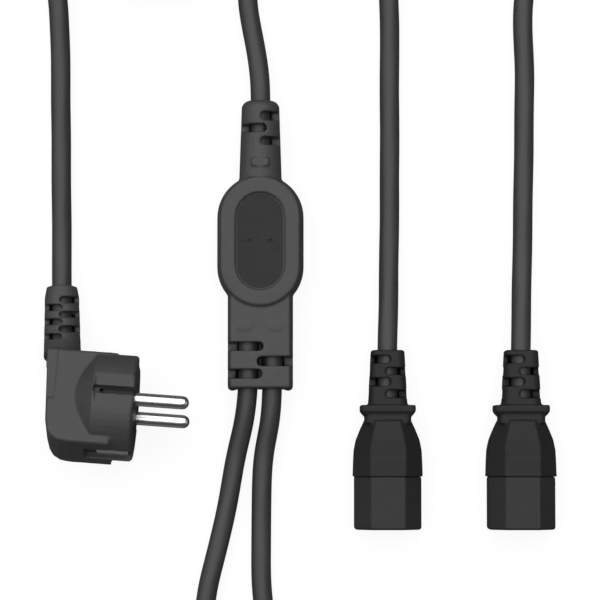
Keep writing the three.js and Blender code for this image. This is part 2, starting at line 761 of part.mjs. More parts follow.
function plugHousing() {
  const discR = DISC_D / 2;
  const coneR = SLAB_T / 2 - 0.5;
  const disc = revolved(
    [
      [0, -DISC_L - CONE_L],
      [coneR, -DISC_L - CONE_L],
      [discR, -DISC_L],
      [discR, -DISC_ROUND],
      [discR - DISC_ROUND, 0],
      [0, 0],
    ],
    alongPins,
    48,
  );
  const back = -PLUG_L;
  const slant = Math.tan(rad(BACK_SLANT));
  const outline = new THREE.Shape();
  outline.moveTo(-DISC_L / 2, -SLAB_DOWN);
  outline.lineTo(-DISC_L / 2, SLAB_UP);
  outline.lineTo(back - slant * SLAB_UP, SLAB_UP);
  outline.lineTo(back + slant * (SLAB_DOWN - SLAB_CORNER), -SLAB_DOWN + SLAB_CORNER);
  outline.quadraticCurveTo(
    back + slant * SLAB_DOWN,
    -SLAB_DOWN,
    back + slant * SLAB_DOWN + SLAB_CORNER,
    -SLAB_DOWN,
  );
  const slab = moulded(
    outline,
    [
      { z: -SLAB_T / 2, grow: -0.9 },
      { z: -SLAB_T / 2 + 0.7, grow: -0.2 },
      { z: 0, grow: 0 },
      { z: SLAB_T / 2 - 0.7, grow: -0.2 },
      { z: SLAB_T / 2, grow: -0.9 },
    ],
    undefined,
    4,
  );
  const body = join(disc, slab, bentTaper());
  const flats = [-1, 1].map((side) => {
    const inner = (side * SIDE_FLAT) / 2;
    const outer = side * DISC_D;
    return box(-FLAT_L, 1, -FLAT_W / 2, FLAT_W / 2, Math.min(inner, outer), Math.max(inner, outer));
  });
  const guides = [-1, 1].map((side) => {
    const inner = side * (SIDE_FLAT / 2 - GUIDE_DEEP);
    const outer = side * DISC_D;
    const z0 = Math.min(inner, outer);
    const z1 = Math.max(inner, outer);
    return box(-FLAT_L - 0.4, 1, -GUIDE_W / 2, GUIDE_W / 2, z0, z1);
  });
  const clipSlots = [-1, 1].map((side) => {
    const inner = side * (discR - CLIP_SLOT_DEEP);
    const outer = side * DISC_D;
    return box(
      -CLIP_SLOT_L,
      1,
      Math.min(inner, outer),
      Math.max(inner, outer),
      -CLIP_SLOT_W / 2,
      CLIP_SLOT_W / 2,
    );
  });
  const room = rod(CARRIER_D + 2 * FIT, -CARRIER_L - STRIP_T - 2 * FIT, 1, alongPins);
  const wires = rod(WIRE_ROOM_D, -CARRIER_L - WIRE_ROOM_L, -CARRIER_L, alongPins);
  const wireBack = PLUG_CORD_BACK + 3.2;
  const wireBox = box(
    -wireBack,
    -CARRIER_L,
    -WIRE_BOX_DOWN,
    WIRE_BOX_UP,
    -WIRE_BOX_W / 2,
    WIRE_BOX_W / 2,
  );
  const armOut = discR - CLIP_SLOT_DEEP + FIT + STRIP_T + FIT;
  const stripWay = box(
    -CARRIER_L - STRIP_T - 2 * FIT,
    -CARRIER_L + FIT,
    -armOut,
    armOut,
    -STRIP_W / 2 - FIT,
    STRIP_W / 2 + FIT,
  );
  const cordBore = solid(along(tailPoints, CORD_D + 5 * FIT, 8, 12), toPlug);
  const panel = box(
    -PLUG_L - 3,
    -PLUG_L - 1 + PANEL_W,
    PANEL_SHIFT - PANEL_L / 2 - 1,
    PANEL_SHIFT + PANEL_L / 2 - 1,
    SLAB_T / 2 - PANEL_DEEP,
    SLAB_T,
  );
  const slots = TAIL_SLOTS.flatMap((slot) => {
    const y = (slot.from + slot.to) / 2;
    const after = tailPoints.findIndex((point) => point.y > y);
    const middle = tailPoints[after - 1].clone();
    const ahead = tailPoints[after].clone().sub(middle);
    middle.addScaledVector(ahead, (y - middle.y) / ahead.y).setX(tailX);
    return slotPair(slot, middle, TAIL_ROOT_D, toPlug);
  });
  return cut(
    body,
    ...flats,
    ...guides,
    ...clipSlots,
    room,
    wires,
    wireBox,
    stripWay,
    cordBore,
    panel,
    ...slots,
  );
}

// Carrier: the hard disc that holds the two pins and the earth sleeve.
const pinPlace = (side) => at(0, 0, (side * PIN_APART) / 2);
function pinCarrier() {
  const body = revolved(
    [
      [0, -CARRIER_L],
      [CARRIER_D / 2, -CARRIER_L],
      [CARRIER_D / 2, -0.5],
      [CARRIER_D / 2 - 0.5, 0],
      [0, 0],
    ],
    alongPins,
    36,
  );
  const pinHoles = [-1, 1].map((side) =>
    rod(PIN_D + 2 * FIT, -CARRIER_L - 1, 1, pinPlace(side).multiply(alongPins), 20),
  );
  const earthHole = rod(
    EARTH_HOLE_D + 2 * SLEEVE_WALL + 2 * FIT,
    -CARRIER_L - 1,
    1,
    at(0, -EARTH_HOLE_OUT, 0).multiply(alongPins),
    24,
  );
  return cut(body, ...pinHoles, earthHole);
}

function pin(side) {
  const r = PIN_D / 2;
  return revolved(
    [
      [0, -PIN_BACK - BARREL_L],
      [BARREL_D / 2, -PIN_BACK - BARREL_L],
      [BARREL_D / 2, -PIN_BACK],
      [r, -PIN_BACK],
      [r, PIN_L - r],
      [0.92 * r, PIN_L - 0.6 * r],
      [0.7 * r, PIN_L - 0.27 * r],
      [0.38 * r, PIN_L - 0.07 * r],
      [0, PIN_L],
    ],
    pinPlace(side).multiply(alongPins),
    20,
  );
}

// Earth strip: one bent brass strip whose two arms are the side clips.
function earthStrip() {
  const armIn = DISC_D / 2 - CLIP_SLOT_DEEP + FIT;
  const armOut = armIn + STRIP_T;
  const bar0 = -CARRIER_L - FIT - STRIP_T;
  const bar1 = -CARRIER_L - FIT;
  const half = STRIP_W / 2;
  const bar = box(bar0, bar1, -armOut, armOut, -half, half);
  const arms = [-1, 1].map((side) => {
    const y0 = Math.min(side * armIn, side * armOut);
    return box(bar0, -1.2, y0, y0 + STRIP_T, -half, half);
  });
  return join(bar, ...arms);
}

addSolid("plug_housing", plugHousing(), BLACK_PVC, plugRoll);
addSolid("plug_pin_carrier", pinCarrier(), HARD_PVC, plugRoll);
addSolid("plug_pin_live", pin(1), NICKEL, plugRoll);
addSolid("plug_pin_neutral", pin(-1), NICKEL, plugRoll);
addSolid("plug_earth_strip", earthStrip(), NICKEL, plugRoll);
const sleeve = revolved(
  [
    [EARTH_HOLE_D / 2, -SLEEVE_L - 0.5],
    [EARTH_HOLE_D / 2 + SLEEVE_WALL, -SLEEVE_L - 0.5],
    [EARTH_HOLE_D / 2 + SLEEVE_WALL, -0.5],
    [EARTH_HOLE_D / 2, -0.5],
    [EARTH_HOLE_D / 2, -SLEEVE_L - 0.5],
  ],
  at(0, -EARTH_HOLE_OUT, 0).multiply(alongPins),
  24,
);
addSolid("plug_earth_sleeve", sleeve, BRASS, plugRoll);

// Cores inside the plug, from the end of the jacket to the two pins and to the earth strip.
const jacketEnd = tailPoints[0].clone().applyMatrix4(toPlug);
const backOfPins = -PIN_BACK - BARREL_L - 2 * FIT;
for (const [i, side] of [[0, 1], [1, -1], [2, 0]]) {
  const start = vec(jacketEnd.x, jacketEnd.y - FIT - 0.2, jacketEnd.z + side * CORE_PITCH);
  const v = (side * PIN_APART) / 2;
  const path = side
    ? [
        start,
        vec(-24, 7, side * 2.8),
        vec(-19.5, 3, side * 5),
        vec(-16.8, 0.8, 0.78 * v),
        vec(-15.6, 0.2, 0.94 * v),
        vec(backOfPins, 0, v),
      ]
    : [start, vec(-25, 6, 0), vec(-18, 0.6, 0), vec(-CARRIER_L - STRIP_T - 2 * FIT, 0, 0)];
  const core = along(path, CORE_D, 2 * CORE_STEPS, CORE_SIDES);
  addMesh("plug_core_" + CORE_NAMES[i], core, coreFinish(i), plugRoll);
}

// Routes of the free cords, by points chosen along them. REST keeps a cord on the table.
const REST = CORD_REST + 0.3;
const tangentGap = 24.6; // where a lead stops short of the coil's side
const coilOuter = COIL_MEAN_R + CORD_D / 2;
const plugLead = [
  ...tailPoints,
  vec(-71.6, 2, 4),
  vec(-71.8, 20, REST),
  vec(-72.1, 45, REST),
  vec(-72.6, 75, REST),
  vec(-73.8, 93, REST),
  vec(-76.4, 104, REST + 0.1),
  vec(COIL_X - coilOuter, COIL_Y - tangentGap, REST + 0.4),
];
const splitterLead = [
  vec(COIL_X + coilOuter, COIL_Y - tangentGap, 8.6),
  vec(-2.2, 106, 6.4),
  vec(-4.6, 97, 4.4),
  vec(-4.7, 88, REST),
  vec(-3.4, 80, REST + 0.3),
  vec(-1.4, 69, 6),
  vec(0, 58, 8),
  vec(0, 50, middleZ),
  vec(0, 34, middleZ),
  vec(0, HOLLOW_FRONT, middleZ),
];
const branchX = BRANCH_APART / 2;
const branch1 = [
  vec(-branchX, HOLLOW_BACK, middleZ),
  vec(-branchX, -33, middleZ),
  vec(-branchX, -47, middleZ),
  vec(-4.6, -54, 8.1),
  vec(-5.9, -63, 7),
  vec(-8.3, -73, 5),
  vec(-11.5, -91, REST),
  vec(-15.5, -109, REST),
  vec(-19.6, -127, REST),
  vec(-18.9, -146, REST),
  vec(-7.4, -161, REST),
  vec(10.5, -166.6, REST),
  vec(45, -166.6, REST),
  vec(85, -166.6, REST),
  vec(123.5, -166.6, REST),
  vec(141.3, -161, REST),
  vec(152.6, -146.2, REST),
  vec(154.5, -130, REST),
  vec(154.5, -75, REST),
  vec(154.5, -15, REST),
  vec(154.5, 45, REST),
  vec(154.5, 94, REST),
  vec(150.6, 109.8, REST),
  vec(139.8, 120.8, REST),
  vec(125, 124.8, REST),
  vec(110.2, 120.8, REST),
  vec(99.4, 109.8, REST),
  vec(95.6, 94, REST),
  vec(95.3, 60, REST),
  vec(94.5, 12, REST),
  vec(94, -10, REST + 0.8),
  vec(93.5, -24, 7.4),
  vec(CONNECTOR_XS[1], -35, CONNECTOR_AXIS_Z - 0.1),
  vec(CONNECTOR_XS[1], -54, CONNECTOR_AXIS_Z),
  vec(CONNECTOR_XS[1], CONNECTOR_TIP_Y - fanStart, CONNECTOR_AXIS_Z),
];
const branch2 = [
  vec(branchX, HOLLOW_BACK, middleZ),
  vec(branchX, -33, middleZ),
  vec(branchX, -47, middleZ),
  vec(4.2, -54, 8.1),
  vec(3.4, -63, 7),
  vec(1.4, -73, 5),
  vec(0.4, -91, REST),
  vec(0.3, -109, REST),
  vec(0.7, -125, REST),
  vec(3.1, -138.3, REST),
  vec(13.9, -151.5, REST),
  vec(30.7, -156.6, REST),
  vec(70, -156.6, REST),
  vec(112, -156.6, REST),
  vec(128.8, -151.5, REST),
  vec(139.6, -138.3, REST),
  vec(142, -120, REST),
  vec(142, -65, REST),
  vec(142, -5, REST),
  vec(142, 50, REST),
  vec(142, 80, REST + 0.6),
  vec(142, 102, 10.4),
  vec(141.2, 119, 13),
  vec(136.2, 134.4, 10),
  vec(126.4, 147.6, REST + 0.8),
  vec(112, 156.6, REST),
  vec(94.3, 159.8, REST),
  vec(72, 154.2, REST),
  vec(54.5, 138, REST),
  vec(47, 115, REST),
  vec(46.6, 80, REST),
  vec(46.4, 12, REST),
  vec(46.1, -10, REST + 0.8),
  vec(45.8, -24, 7.4),
  vec(CONNECTOR_XS[0], -35, CONNECTOR_AXIS_Z - 0.1),
  vec(CONNECTOR_XS[0], -54, CONNECTOR_AXIS_Z),
  vec(CONNECTOR_XS[0], CONNECTOR_TIP_Y - fanStart, CONNECTOR_AXIS_Z),
];
const cords = {
  main_cord_plug_side: [plugLead, 14],
  main_cord_splitter_side: [splitterLead, 7],
  branch_cord_1: [branch1, 34],
  branch_cord_2: [branch2, 34],
};
for (const [name, [points, steps]] of Object.entries(cords)) {
  addMesh(name, along(points, CORD_D, steps), CORD_PVC);
}

// The coil of spare cord: three and a half turns, two wide and two high, as one ring.
const coilLow = COIL_LIFT;
const coilHigh = COIL_LIFT + 2 * CORD_D;
const coilIn = COIL_MEAN_R - CORD_D;
const coilOut = COIL_MEAN_R + CORD_D;
const coilCorner = CORD_D * 0.3;
const ring = revolved(
  [
    [coilIn, coilLow + coilCorner],
    [coilIn + coilCorner, coilLow],
    [coilOut - coilCorner, coilLow],
    [coilOut, coilLow + coilCorner],
    [coilOut, coilHigh - coilCorner],
    [coilOut - coilCorner, coilHigh],
    [coilIn + coilCorner, coilHigh],
    [coilIn, coilHigh - coilCorner],
    [coilIn, coilLow + coilCorner],
  ],
  at(COIL_X, COIL_Y, 0),
  36,
);
addSolid("main_cord_coil", ring, CORD_PVC);

// Two ties hold the coil, one at its far side and one at its near side.
[1, -1].forEach((side, n) => {
  const near = coilIn - FIT;
  const far = coilOut + FIT;
  const top = coilHigh + FIT;
  const bottom = coilLow - FIT;
  const band = (r0, r1, z0, z1, w) =>
    box(-w / 2, w / 2, Math.min(side * r0, side * r1), Math.max(side * r0, side * r1), z0, z1);
  const outer = band(near - TIE_T, far + TIE_T, 0, top + TIE_T, TIE_W);
  const inner = band(near, far, bottom, top, TIE_W + 1);
  const tie = cut(outer, inner);
  const holder = new THREE.Group();
  holder.position.set(COIL_X, COIL_Y, 0);
  group.add(holder);
  addSolid("coil_tie_" + (n + 1), tie, HARD_PVC, holder);
});

export default group;
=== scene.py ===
# %% [markdown]
# A Y-shaped mains lead, seen from straight above on a white table: an earthed angled plug, a moulded
# splitter and two C13 connectors, joined by round black cords. The imported solids give every place and
# size. This notebook gives them their finish. The first cell loads them.

# %% Load the solids
import bpy
import bmesh
import json
import math
from mathutils import Matrix, Vector


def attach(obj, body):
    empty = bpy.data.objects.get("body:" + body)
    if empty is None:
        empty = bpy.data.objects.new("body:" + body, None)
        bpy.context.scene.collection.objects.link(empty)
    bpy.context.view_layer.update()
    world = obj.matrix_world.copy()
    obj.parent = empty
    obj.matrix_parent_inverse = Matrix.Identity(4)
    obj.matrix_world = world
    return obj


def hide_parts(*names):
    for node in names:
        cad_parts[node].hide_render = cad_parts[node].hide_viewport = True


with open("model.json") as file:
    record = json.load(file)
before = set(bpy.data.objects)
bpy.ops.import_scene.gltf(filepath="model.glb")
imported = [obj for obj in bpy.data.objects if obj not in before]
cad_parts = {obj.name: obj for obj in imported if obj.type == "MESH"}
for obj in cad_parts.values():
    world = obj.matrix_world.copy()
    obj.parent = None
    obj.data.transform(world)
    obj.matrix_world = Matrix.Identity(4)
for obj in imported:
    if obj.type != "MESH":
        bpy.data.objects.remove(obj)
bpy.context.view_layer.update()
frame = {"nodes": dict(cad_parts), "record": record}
nodes = frame["nodes"]
MM = 0.001

# %% [markdown]
# The camera comes first, because it decides what is seen of the cords. The photograph looks down on the
# lead with hardly any perspective, so a long lens stands far above the table and leans back by three
# degrees. One pixel of the 600 pixel frame is 0.358 mm on the table.

# %% Camera
IMAGE_PX = 600
PIXEL = 0.358 * MM
CAMERA_FAR = 1000 * MM
CAMERA_TILT = 3  # degrees
LOOK_AT = Vector((14.19, -19.4, 9.0)) * MM

camera_data = bpy.data.cameras.new("camera")
camera_data.sensor_width = 36
camera_data.lens = camera_data.sensor_width * CAMERA_FAR / (PIXEL * IMAGE_PX)
camera = bpy.data.objects.new("camera", camera_data)
bpy.context.scene.collection.objects.link(camera)
tilt = math.radians(CAMERA_TILT)
camera.location = LOOK_AT + CAMERA_FAR * Vector((0, -math.sin(tilt), math.cos(tilt)))
camera.rotation_euler = (tilt, 0, 0)
bpy.context.scene.camera = camera
bpy.context.scene.view_settings.view_transform = "Standard"
print("lens", round(camera_data.lens, 1), "mm")

# %% [markdown]
# A free cord is a smooth curve. Its route is a short list of points, and a curve that passes through
# all of them. The tangent at a point leans towards its nearer neighbour, which keeps uneven points from
# making loops. A few rounds of averaging then even out the bends, as the stiffness of a real cord does,
# and nothing sinks below the table. Blender's own Bezier curve would do as well, but it needs two
# handles at each point, and here the length has to be known exactly.

# %% Curve through the points of a route
CORD_R = 3.6
TABLE_Z = CORD_R + 0.05
SAMPLE = 1.5  # mm between the rings of a cord


def through(points):
    """Samples a smooth curve through the points, about one sample for each SAMPLE of length."""
    pts = [Vector(p) for p in points]
    first = pts[0] * 2 - pts[1]
    last = pts[-1] * 2 - pts[-2]
    pts = [first] + pts + [last]
    out = []
    for i in range(1, len(pts) - 2):
        p0, p1, p2, p3 = pts[i - 1 : i + 3]
        d0, d1, d2 = (p1 - p0).length, (p2 - p1).length, (p3 - p2).length
        m1 = ((p1 - p0) / d0 - (p2 - p0) / (d0 + d1) + (p2 - p1) / d1) * d1
        m2 = ((p2 - p1) / d1 - (p3 - p1) / (d1 + d2) + (p3 - p2) / d2) * d1
        count = max(2, round(d1 / SAMPLE))
        for j in range(count):
            t = j / count
            h = 2 * t**3 - 3 * t**2
            out.append(
                p1 * (h + 1) + m1 * (t**3 - 2 * t**2 + t) - p2 * h + m2 * (t**3 - t**2)
            )
    out.append(pts[-2])
    return out


def relaxed(path, rounds=12):
    """Averages each point with its neighbours, keeps both ends, and rests the cord on the table."""
    for _ in range(rounds):
        inner = [(a + b * 2 + c) / 4 for a, b, c in zip(path, path[1:], path[2:])]
        path = [path[0]] + inner + [path[-1]]
    return [Vector((p.x, p.y, max(p.z, TABLE_Z))) for p in path]


def length_of(path):
    """The length along the path, in mm."""
    return sum((b - a).length for a, b in zip(path, path[1:]))


# %% [markdown]
# The spare main cord lies in a neat coil above the picture, two turns wide and two turns high. It runs
# clockwise. In its far half each turn keeps its place, and in its near half one strand after the other
# steps to the next place, so that no two meet: up from the inside, then out over the first turn. Points
# set by hand never give even turns, so a formula places them.

# %% Coil of the main cord
COIL = Vector((-38.8, 138.6, 0))
COIL_MEAN_R = 36  # between its inner and its outer turn
COIL_LIFT = 1.3  # the ties pass under the coil
STEP_STARTS = (120, 60, 0)  # degrees into the near half at which each strand steps across
STEP_SPAN = 60
POINTS_A_TURN = 45

lower_z = COIL_LIFT + CORD_R
upper_z = lower_z + 2 * CORD_R
inner_r = COIL_MEAN_R - CORD_R
outer_r = COIL_MEAN_R + CORD_R
places = [(outer_r, lower_z), (inner_r, lower_z), (inner_r, upper_z), (outer_r, upper_z)]


def coil_point(turned):
    """The cord's centre after so many degrees from the coil's left side."""
    half, within = divmod(turned, 180)
    strand = int(half) // 2
    radius, height = places[min(strand, 3)]
    if int(half) % 2:
        share = min(1, max(0, (within - STEP_STARTS[strand]) / STEP_SPAN))
        share = share * share * (3 - 2 * share)
        next_radius, next_height = places[strand + 1]
        radius += (next_radius - radius) * share
        height += (next_height - height) * share
    angle = math.radians(180 - turned)
    return COIL + Vector((radius * math.cos(angle), radius * math.sin(angle), height))


STEP_ANGLE = 360 / POINTS_A_TURN
coil_path = [coil_point(i * STEP_ANGLE) for i in range(int(3.5 * POINTS_A_TURN) + 1)]
print("coil", round(length_of(coil_path)), "mm")

# %% [markdown]
# The three routes. Each is written from the piece that it leaves to the piece that it enters, in
# millimetres: the main cord from the plug by way of the coil to the splitter, and each branch cord from
# the splitter to its connector. Points inside a housing keep the cord in the middle of its bore, where
# the slots of the strain relief show it. The second branch steps over the first on its way.

# %% Routes of the cords
LYING = 3.9  # height of a cord's centre where it lies on the table

from_plug = [
    (-70.1, -46.5, 14.4), (-70.6, -38.1, 11.3), (-71, -27, 7.9), (-71.3, -16, 6.2),
    (-71.4, -8, 5.2), (-71.6, 2, 4), (-71.8, 20, LYING), (-72.1, 45, LYING), (-72.6, 75, LYING),
    (-73.8, 93, LYING), (-76.4, 104, LYING + 0.1), (-78.4, 114, LYING + 0.4),
]
to_splitter = [
    (0.8, 114, 8.6), (-2.2, 106, 6.4), (-4.6, 97, 4.4), (-4.7, 88, LYING), (-3.4, 80, LYING + 0.3),
    (-1.4, 69, 6), (0, 58, 8), (0, 50, 8.25), (0, 40, 8.25), (0, 30, 8.25),
]
branch_1 = [
    (-4.3, -28, 8.25), (-4.3, -38, 8.25), (-4.3, -47, 8.25), (-4.6, -54, 8.1), (-5.9, -63, 7),
    (-8.3, -73, 5), (-11.5, -91, LYING), (-15.5, -109, LYING), (-19.6, -127, LYING),
    (-18.9, -146, LYING), (-7.4, -161, LYING), (10.5, -166.6, LYING), (45, -166.6, LYING),
    (85, -166.6, LYING), (123.5, -166.6, LYING), (141.3, -161, LYING), (152.6, -146.2, LYING),
    (154.5, -130, LYING), (154.5, -75, LYING), (154.5, -15, LYING), (154.5, 45, LYING),
    (154.5, 94, LYING), (150.6, 109.8, LYING), (139.8, 120.8, LYING), (125, 124.8, LYING),
    (110.2, 120.8, LYING), (99.4, 109.8, LYING), (95.6, 94, LYING), (95.3, 60, LYING),
    (94.5, 12, LYING), (94, -10, LYING + 0.8), (93.5, -24, 7.4), (93.2, -35, 8.55),
    (93.2, -54, 8.65), (93.2, -69.5, 8.65),
]
branch_2 = [
    (4.3, -28, 8.25), (4.3, -38, 8.25), (4.3, -47, 8.25), (4.2, -54, 8.1), (3.4, -63, 7),
    (1.4, -73, 5), (0.4, -91, LYING), (0.3, -109, LYING), (0.7, -125, LYING), (3.1, -138.3, LYING),
    (13.9, -151.5, LYING), (30.7, -156.6, LYING), (70, -156.6, LYING), (112, -156.6, LYING),
    (128.8, -151.5, LYING), (139.6, -138.3, LYING), (142, -120, LYING), (142, -65, LYING),
    (142, -5, LYING), (142, 50, LYING), (142, 80, LYING + 0.6), (142, 102, 10.4), (141.2, 119, 13),
    (136.2, 134.4, 10), (126.4, 147.6, LYING + 0.8), (112, 156.6, LYING), (94.3, 159.8, LYING),
    (72, 154.2, LYING), (54.5, 138, LYING), (47, 115, LYING), (46.6, 80, LYING), (46.4, 12, LYING),
    (46.1, -10, LYING + 0.8), (45.8, -24, 7.4), (45.5, -35, 8.55), (45.5, -54, 8.65),
    (45.5, -69.5, 8.65),
]
main_path = relaxed(through(from_plug + coil_path + to_splitter))
branch_1_path = relaxed(through(branch_1))
branch_2_path = relaxed(through(branch_2))
for title, path in (("main", main_path), ("branch 1", branch_1_path), ("branch 2", branch_2_path)):
    print(title, round(length_of(path)), "mm, lowest", round(min(p.z for p in path), 2))

# %% [markdown]
# A cord's jacket is pressed over three twisted cores, so its section isn't quite round: it has three
# faint lobes that wind slowly along it. They give the soft lengthwise highlights of the photograph. The
# mesh is a tube of rings, made in bmesh. Each ring turns with the one before it by the least rotation,
# which keeps the tube from twisting by itself. Its UV map holds the way round and the way along, in
# metres, so that the fine grain of the jacket can follow the cord.

# %% Tube along a path
RING = 24
LOBES = 3
LOBE_DEEP = 0.05  # mm
LAY = 95  # mm for one turn of the cores


def ring_frames(path):
    """The direction, and two directions across it, at each point of the path."""
    frames = []
    across = Vector((0, 0, 1))
    for i, p in enumerate(path):
        ahead = (path[min(i + 1, len(path) - 1)] - path[max(i - 1, 0)]).normalized()
        across = (across - ahead * across.dot(ahead)).normalized()
        frames.append((p, across.copy(), ahead.cross(across)))
    return frames


def cord_tube(name, path):
    """A closed tube along the path, in metres, with three winding lobes."""
    bm = bmesh.new()
    uv = bm.loops.layers.uv.new("along")
    rings = []
    runs = []
    run = 0
    last = path[0]
    for p, across, up in ring_frames(path):
        run += (p - last).length
        last = p
        wound = 2 * math.pi * run / LAY
        ring = []
        for k in range(RING):
            angle = 2 * math.pi * k / RING
            radius = CORD_R - LOBE_DEEP + LOBE_DEEP * math.cos(LOBES * (angle - wound))
            outward = across * math.cos(angle) + up * math.sin(angle)
            ring.append(bm.verts.new((p + outward * radius) * MM))
        rings.append(ring)
        runs.append(run * MM)
    around = 2 * math.pi * CORD_R * MM
    for i, (ring, following) in enumerate(zip(rings, rings[1:])):
        for k in range(RING):
            n = (k + 1) % RING
            face = bm.faces.new((ring[k], ring[n], following[n], following[k]))
            face.smooth = True
            corners = ((k, i), (k + 1, i), (k + 1, i + 1), (k, i + 1))
            for loop, (step, row) in zip(face.loops, corners):
                loop[uv].uv = (around * step / RING, runs[row])
    bm.faces.new(list(reversed(rings[0])))
    bm.faces.new(rings[-1])
    bmesh.ops.recalc_face_normals(bm, faces=bm.faces)
    mesh = bpy.data.meshes.new(name)
    bm.to_mesh(mesh)
    bm.free()
    obj = bpy.data.objects.new(name, mesh)
    bpy.context.scene.collection.objects.link(obj)
    print(name, len(mesh.polygons), "faces")
    return obj


main_cord = cord_tube("main_cord", main_path)
branch_cords = [
    cord_tube("branch_cord_one", branch_1_path),
    cord_tube("branch_cord_two", branch_2_path),
]

# %% [markdown]
# A moulded piece has small radii on all its edges, and the mould's own roundings run into each other.
# The solids have sharp edges and facets. Such a piece could be modelled again with fillets, but there is
# a shorter way that keeps its exact form and place: an even mesh of fine squares is laid over the solid,
# and a few rounds of smoothing take the sharpness off. The finer the mesh, the smaller the radii. Two
# thin webs are joined to the solids first: one between the branch cords and one beside the plug's cord.
# They keep the white table from showing through the slots.

# %% Soft skins over the moulded pieces
def skin(name, voxel, rounds, webs=()):
    """A finely meshed copy of a CAD piece with soft edges, shown in its place. voxel is in mm.

    Webs are thin walls inside it, each from one corner to the other in mm. The mesh takes them in.
    """
    bm = bmesh.new()
    bm.from_mesh(nodes[name].data)
    for low, high in webs:
        middle = (Vector(low) + Vector(high)) * 0.5 * MM
        size = (Vector(high) - Vector(low)) * MM
        bmesh.ops.create_cube(bm, size=1, matrix=Matrix.LocRotScale(middle, None, size))
    joined = bpy.data.meshes.new("skin_" + name)
    bm.to_mesh(joined)
    bm.free()
    obj = bpy.data.objects.new("skin_" + name, joined)
    bpy.context.scene.collection.objects.link(obj)
    even = obj.modifiers.new("even", "REMESH")
    even.mode = "VOXEL"
    even.voxel_size = voxel * MM
    soften = obj.modifiers.new("soften", "SMOOTH")
    soften.factor = 0.5
    soften.iterations = rounds
    made = bpy.data.meshes.new_from_object(obj.evaluated_get(bpy.context.evaluated_depsgraph_get()))
    obj.modifiers.clear()
    obj.data = made
    for face in made.polygons:
        face.use_smooth = True
    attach(obj, "root")
    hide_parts(name)
    print(obj.name, len(made.polygons), "faces")
    return obj


# The lowest and the highest corner of each web, in mm.
BRANCH_WEB = ((-1.2, -50, 1.6), (1.2, -33, 7.8))
PLUG_WEB = ((-68.3, -24.4, 4), (-66.6, -22.2, 8.2))

skins = {
    "splitter_housing": skin("splitter_housing", 0.42, 3, [BRANCH_WEB]),
    "plug_housing": skin("plug_housing", 0.42, 3, [PLUG_WEB]),
}
for side in (1, 2):
    skins[f"connector_{side}_housing"] = skin(f"connector_{side}_housing", 0.4, 3)
    skins[f"connector_{side}_insert"] = skin(f"connector_{side}_insert", 0.4, 2)
skins["plug_pin_carrier"] = skin("plug_pin_carrier", 0.35, 2)
for wire in ("live", "neutral"):
    skins[f"plug_pin_{wire}"] = skin(f"plug_pin_{wire}", 0.16, 4)
for which in (1, 2):
    skins[f"coil_tie_{which}"] = skin(f"coil_tie_{which}", 0.3, 2)

# %% [markdown]
# Two places of the skins are finished by hand. On the plug, the swelling where the relief runs into the
# body would stand a little proud, so the skin is levelled there to the plug's flat face and to its back.
# On each connector, the nose meets the shell without the hair's breadth that the solids keep, so no
# light falls through.

# %% Level the plug's face and close the connectors
PLUG_AT = Vector((-43.9, -58.5, 18.75)) * MM  # on its axis, where the pins leave its face
PLUG_ROLL = 20  # degrees
PLUG_TURN = -4.2
PLUG_L = 31.5 * MM  # from the pins' face to the back
BACK_SLANT = 4.2  # degrees between the back and a square end
FACE_UP = 11 * MM  # from the axis to the flat face
SLAB_UP = 16.9 * MM  # from the axis to the edge that the relief leaves from
BEHIND_CONE = -22 * MM  # along the pins' direction
NOSE_BACK_Y = -82.8 * MM
SHELL_GAP = 0.3 * MM
NOSE_GROWS = 0.24 * MM

roll = Matrix.Rotation(math.radians(-PLUG_ROLL), 4, "X")
turn = Matrix.Rotation(math.radians(PLUG_TURN), 4, "Z") @ roll
along_pins = turn @ Vector((1, 0, 0))
towards_cord = turn @ Vector((0, 1, 0))
face_normal = turn @ Vector((0, 0, 1))
back_slope = math.tan(math.radians(BACK_SLANT))
levelled = 0
for vertex in skins["plug_housing"].data.vertices:
    from_axis = vertex.co - PLUG_AT
    proud = from_axis.dot(face_normal) - FACE_UP
    if proud > 0 and from_axis.dot(along_pins) < BEHIND_CONE:
        vertex.co -= face_normal * proud
        levelled += 1
    up = from_axis.dot(towards_cord)
    behind = -PLUG_L - back_slope * up - from_axis.dot(along_pins)
    if behind > 0 and up < SLAB_UP:
        vertex.co += along_pins * behind
        levelled += 1
for side in (1, 2):
    for vertex in skins[f"connector_{side}_insert"].data.vertices:
        if abs(vertex.co.y - NOSE_BACK_Y) < SHELL_GAP:
            vertex.co.y += NOSE_GROWS
print("levelled", levelled, "vertices")

# %% [markdown]
# Each cord stands for the plain tubes of the solids. The branch cords cross outside the picture, so
# each one ends in the connector of the other's number.

BORE_Z = 0.00825  # metres, as in all places of this cell
BRANCH_EXITS = ((-0.0043, -0.0519, BORE_Z), (0.0043, -0.0519, BORE_Z))
CONNECTOR_PIECES = ("housing", "insert") + tuple(
    kind + wire for kind in ("contact_", "core_") for wire in ("live", "neutral", "earth")
)


def declare(cord, path, stands_for):
    """Attaches the cord to the root and hides the solids that it stands for."""
    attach(cord, "root")
    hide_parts(*stands_for)
    round(length_of(path) * MM, 3)
    [tuple(p * MM) for p in path]


main_nodes = ("main_cord_plug_side", "main_cord_coil", "main_cord_splitter_side")
declare(main_cord, main_path, main_nodes)
branch_paths = (branch_1_path, branch_2_path)
for i, (cord, path, exit_point) in enumerate(zip(branch_cords, branch_paths, BRANCH_EXITS)):
    on_it = [f"connector_{2 - i}_{piece}" for piece in CONNECTOR_PIECES]
    declare(cord, path, [f"branch_cord_{i + 1}"])
print("declared", 1 + len(branch_cords), "cords")

